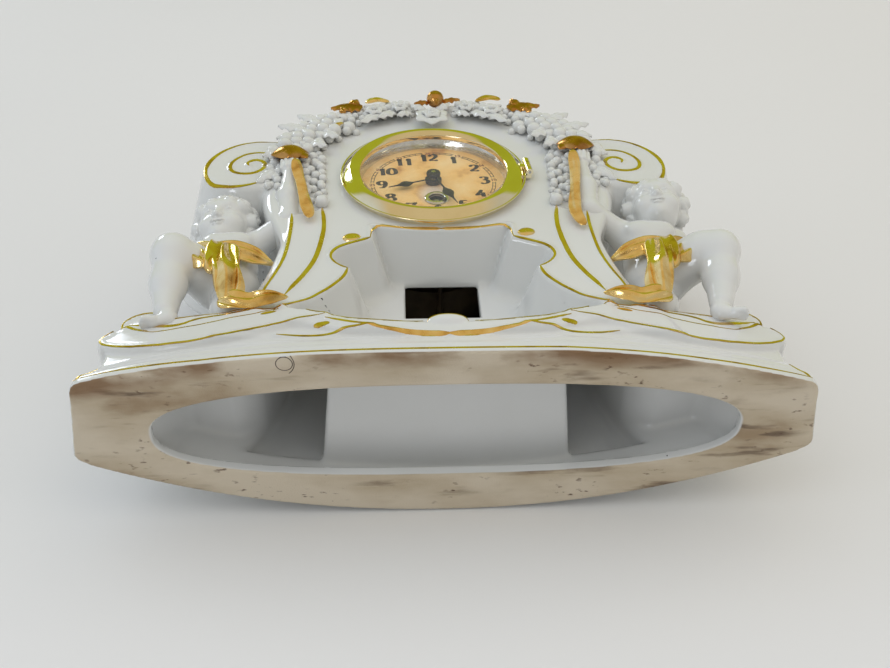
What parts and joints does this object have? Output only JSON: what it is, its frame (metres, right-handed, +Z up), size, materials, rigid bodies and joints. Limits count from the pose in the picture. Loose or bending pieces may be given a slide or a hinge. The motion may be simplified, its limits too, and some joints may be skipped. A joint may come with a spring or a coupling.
{
  "type": "figural mantel clock",
  "caption": "Porcelain figural mantel clock: hollow case with scroll shoulders and niche, kneeling putti, garland, hinged bezel and a spring driven movement.",
  "frame": {"origin": "middle of the overall outline on the rest face under the base", "axes": "+Z up, the dial faces -Y, +X to the right as the dial is read"},
  "size_m": [0.298, 0.097, 0.2275],
  "materials": {
    "porcelain": "clear gloss glaze over white porcelain",
    "gilding": "burnished gold over the glaze",
    "bezel_brass": "polished",
    "nickel": "polished nickel plate",
    "dial_face": "aged matt copper tone",
    "glass": "clear",
    "blackened": "blackened",
    "brass": "brushed",
    "steel": "satin",
    "blued_steel": "blued spring steel"
  },
  "bodies": {
    "case": {"case_shell": "porcelain", "putto_left": "porcelain", "putto_right": "porcelain", "drape_left": "gilding", "drape_right": "gilding", "garland": "porcelain", "fruit_left": "porcelain", "fruit_right": "porcelain", "ribbon_left": "gilding", "ribbon_right": "gilding", "gold_studs": "gilding", "dial_ring": "bezel_brass", "rehaut_ring": "nickel", "dial": "dial_face", "winding_eyelet": "nickel", "hinge_pin": "steel", "front_plate": "brass", "back_plate": "brass", "plate_pillars": "brass", "pillar_nuts": "steel", "dial_feet": "brass", "click_screw": "steel", "minute_post": "steel", "balance_spring": "blued_steel", "rear_pan": "brass", "clamp_screws": "steel"},
    "bezel": {"bezel_ring": "bezel_brass", "bezel_glass": "glass"},
    "hands_arbor": {"minute_arbor": "steel", "minute_hand": "blackened", "set_knob": "brass"},
    "hour_pipe": {"hour_wheel": "brass", "hour_hand": "blackened"},
    "motion_wheel": {"minute_wheel": "brass"},
    "winding": {"winding_arbor": "steel", "ratchet_wheel": "steel"},
    "click": {"click": "steel"},
    "barrel": {"barrel": "brass", "mainspring": "blued_steel"},
    "centre": {"centre_wheel": "brass"},
    "third": {"third_wheel": "brass"},
    "fourth": {"fourth_wheel": "brass"},
    "escape": {"escape_wheel": "brass"},
    "lever": {"pallet_lever": "steel"},
    "balance": {"balance_wheel": "brass"},
    "regulator": {"regulator": "steel"}
  },
  "joints": [
    {"name": "bezel_hinge", "type": "hinge", "parent": "case", "child": "bezel", "pos_m": [0.04349, -0.0376, 0.14018], "axis": [-0.0698, 0, 0.9976], "range_deg": [0, 110]},
    {"name": "minute_spin", "type": "hinge", "parent": "case", "child": "hands_arbor", "pos_m": [-0.002, -0.034, 0.137], "axis": [0, 1, 0], "continuous": true},
    {"name": "hour_spin", "type": "hinge", "parent": "case", "child": "hour_pipe", "pos_m": [-0.002, -0.032, 0.137], "axis": [0, 1, 0], "continuous": true},
    {"name": "motion_spin", "type": "hinge", "parent": "case", "child": "motion_wheel", "pos_m": [-0.00804, -0.028, 0.14225], "axis": [0, 1, 0], "continuous": true},
    {"name": "winding_spin", "type": "hinge", "parent": "case", "child": "winding", "pos_m": [-0.00093, -0.025, 0.12164], "axis": [0, 1, 0], "range_deg": [0, 1800]},
    {"name": "click_lift", "type": "hinge", "parent": "case", "child": "click", "pos_m": [0.00821, -0.004, 0.12568], "axis": [0, 1, 0], "range_deg": [0, 12]},
    {"name": "fourth_spin", "type": "hinge", "parent": "case", "child": "fourth", "pos_m": [-0.00732, -0.015, 0.14927], "axis": [0, 1, 0], "continuous": true},
    {"name": "third_spin", "type": "hinge", "parent": "case", "child": "third", "pos_m": [0.00352, -0.012, 0.14832], "axis": [0, 1, 0], "continuous": true},
    {"name": "centre_spin", "type": "hinge", "parent": "case", "child": "centre", "pos_m": [-0.002, -0.008, 0.137], "axis": [0, 1, 0], "continuous": true},
    {"name": "barrel_spin", "type": "hinge", "parent": "case", "child": "barrel", "pos_m": [-0.00093, -0.014, 0.12164], "axis": [0, 1, 0], "continuous": true},
    {"name": "escape_spin", "type": "hinge", "parent": "case", "child": "escape", "pos_m": [-0.0155, -0.02, 0.14563], "axis": [0, 1, 0], "continuous": true},
    {"name": "lever_swing", "type": "hinge", "parent": "case", "child": "lever", "pos_m": [-0.02125, -0.02, 0.14097], "axis": [0, 1, 0], "range_deg": [-4, 4]},
    {"name": "balance_swing", "type": "hinge", "parent": "case", "child": "balance", "pos_m": [-0.02793, -0.014, 0.13556], "axis": [0, 1, 0], "range_deg": [-150, 150], "stiffness_Nm_per_rad": 0.000008},
    {"name": "regulator_turn", "type": "hinge", "parent": "case", "child": "regulator", "pos_m": [-0.02793, -0.003, 0.13556], "axis": [0, 1, 0], "range_deg": [-25, 25]}
  ],
  "couplings": [
    {"joint": "hour_spin", "follows": "minute_spin", "ratio": 0.083333},
    {"joint": "motion_spin", "follows": "minute_spin", "ratio": -0.33333},
    {"joint": "third_spin", "follows": "fourth_spin", "ratio": -0.13333},
    {"joint": "centre_spin", "follows": "fourth_spin", "ratio": 0.016667},
    {"joint": "barrel_spin", "follows": "fourth_spin", "ratio": -0.0027778},
    {"joint": "escape_spin", "follows": "fourth_spin", "ratio": -7}
  ]
}
